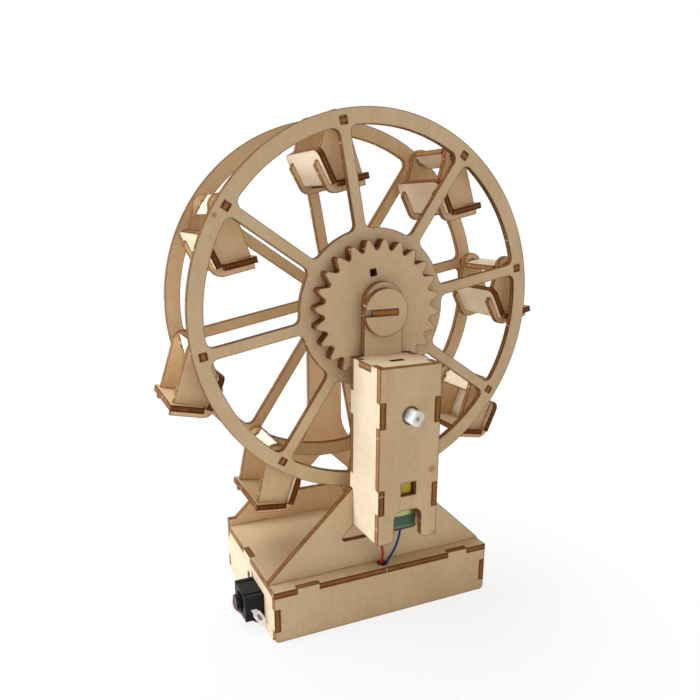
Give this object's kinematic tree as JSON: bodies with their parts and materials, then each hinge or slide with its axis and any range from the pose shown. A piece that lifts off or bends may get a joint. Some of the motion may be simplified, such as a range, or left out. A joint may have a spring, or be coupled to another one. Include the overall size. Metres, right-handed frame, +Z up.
{
  "type": "wooden ferris wheel kit",
  "caption": "Laser-cut plywood ferris wheel with hanging seats, turned through a wooden gear pair by a geared motor in a tower, on a box base with a push switch.",
  "frame": {"origin": "middle of the front panel's bottom edge, on the plane the kit stands on", "axes": "+X to the right seen from the front, +Y from the motor tower towards the back, along the wheel's axle, +Z up"},
  "size_m": [0.1833, 0.1001, 0.2277],
  "materials": {
    "plywood": "satin",
    "yellow_plastic": "gloss",
    "white_plastic": "matte",
    "motor_steel": "satin",
    "end_cap_plastic": "matte",
    "screw_steel": "satin",
    "black_plastic": "matte",
    "button_plastic": "gloss",
    "tinned_metal": "satin",
    "cell_skin": "gloss",
    "red_lead": "matte",
    "blue_lead": "matte"
  },
  "bodies": {
    "stand": {"base_top": "plywood", "base_front": "plywood", "base_left": "plywood", "base_right": "plywood", "front_frame": "plywood", "rear_frame": "plywood", "axle_strip": "plywood", "front_axle_cap": "plywood", "rear_axle_cap": "plywood", "tower_front": "plywood", "tower_left": "plywood", "tower_right": "plywood", "tower_lid": "plywood", "gearbox_front": "yellow_plastic", "gearbox_rear": "yellow_plastic", "gearbox_screws": "screw_steel", "motor_can": "motor_steel", "motor_end_cap": "end_cap_plastic", "switch_body": "black_plastic", "switch_lugs": "tinned_metal", "battery_holder": "black_plastic", "battery_cells": "cell_skin", "battery_contacts": "tinned_metal", "motor_lead_red": "red_lead", "motor_lead_blue": "blue_lead", "switch_lead": "red_lead"},
    "wheel": {"front_ring": "plywood", "rear_ring": "plywood", "drive_gear": "plywood", "gear_spacer": "plywood", "crossbars": "plywood"},
    "output_shaft": {"motor_shaft": "white_plastic", "pinion": "plywood"},
    "button": {"switch_button": "button_plastic"},
    "seat_1": {"seat_1_hangers": "plywood", "seat_1_back": "plywood", "seat_1_floor": "plywood"},
    "seat_2": {"seat_2_hangers": "plywood", "seat_2_back": "plywood", "seat_2_floor": "plywood"},
    "seat_3": {"seat_3_hangers": "plywood", "seat_3_back": "plywood", "seat_3_floor": "plywood"},
    "seat_4": {"seat_4_hangers": "plywood", "seat_4_back": "plywood", "seat_4_floor": "plywood"},
    "seat_5": {"seat_5_hangers": "plywood", "seat_5_back": "plywood", "seat_5_floor": "plywood"},
    "seat_6": {"seat_6_hangers": "plywood", "seat_6_back": "plywood", "seat_6_floor": "plywood"},
    "seat_7": {"seat_7_hangers": "plywood", "seat_7_back": "plywood", "seat_7_floor": "plywood"},
    "seat_8": {"seat_8_hangers": "plywood", "seat_8_back": "plywood", "seat_8_floor": "plywood"}
  },
  "joints": [
    {"name": "wheel_spin", "type": "hinge", "parent": "stand", "child": "wheel", "pos_m": [0, 0.0389, 0.1444], "axis": [0, 1, 0], "continuous": true},
    {"name": "shaft_spin", "type": "hinge", "parent": "stand", "child": "output_shaft", "pos_m": [0, -0.00635, 0.10462], "axis": [0, 1, 0], "continuous": true},
    {"name": "button_press", "type": "slide", "parent": "stand", "child": "button", "axis": [1, 0, 0], "range_m": [0, 0.0015], "stiffness_N_per_m": 500},
    {"name": "seat_1_swing", "type": "hinge", "parent": "wheel", "child": "seat_1", "pos_m": [0.0774, 0.0388, 0.15917], "axis": [0, 1, 0], "continuous": true},
    {"name": "seat_2_swing", "type": "hinge", "parent": "wheel", "child": "seat_2", "pos_m": [0.04429, 0.0388, 0.20957], "axis": [0, 1, 0], "continuous": true},
    {"name": "seat_3_swing", "type": "hinge", "parent": "wheel", "child": "seat_3", "pos_m": [-0.01477, 0.0388, 0.2218], "axis": [0, 1, 0], "continuous": true},
    {"name": "seat_4_swing", "type": "hinge", "parent": "wheel", "child": "seat_4", "pos_m": [-0.06517, 0.0388, 0.18869], "axis": [0, 1, 0], "continuous": true},
    {"name": "seat_5_swing", "type": "hinge", "parent": "wheel", "child": "seat_5", "pos_m": [-0.0774, 0.0388, 0.12963], "axis": [0, 1, 0], "continuous": true},
    {"name": "seat_6_swing", "type": "hinge", "parent": "wheel", "child": "seat_6", "pos_m": [-0.04429, 0.0388, 0.07923], "axis": [0, 1, 0], "continuous": true},
    {"name": "seat_7_swing", "type": "hinge", "parent": "wheel", "child": "seat_7", "pos_m": [0.01477, 0.0388, 0.067], "axis": [0, 1, 0], "continuous": true},
    {"name": "seat_8_swing", "type": "hinge", "parent": "wheel", "child": "seat_8", "pos_m": [0.06517, 0.0388, 0.10011], "axis": [0, 1, 0], "continuous": true}
  ],
  "couplings": [
    {"joint": "shaft_spin", "follows": "wheel_spin", "ratio": -2.4}
  ]
}
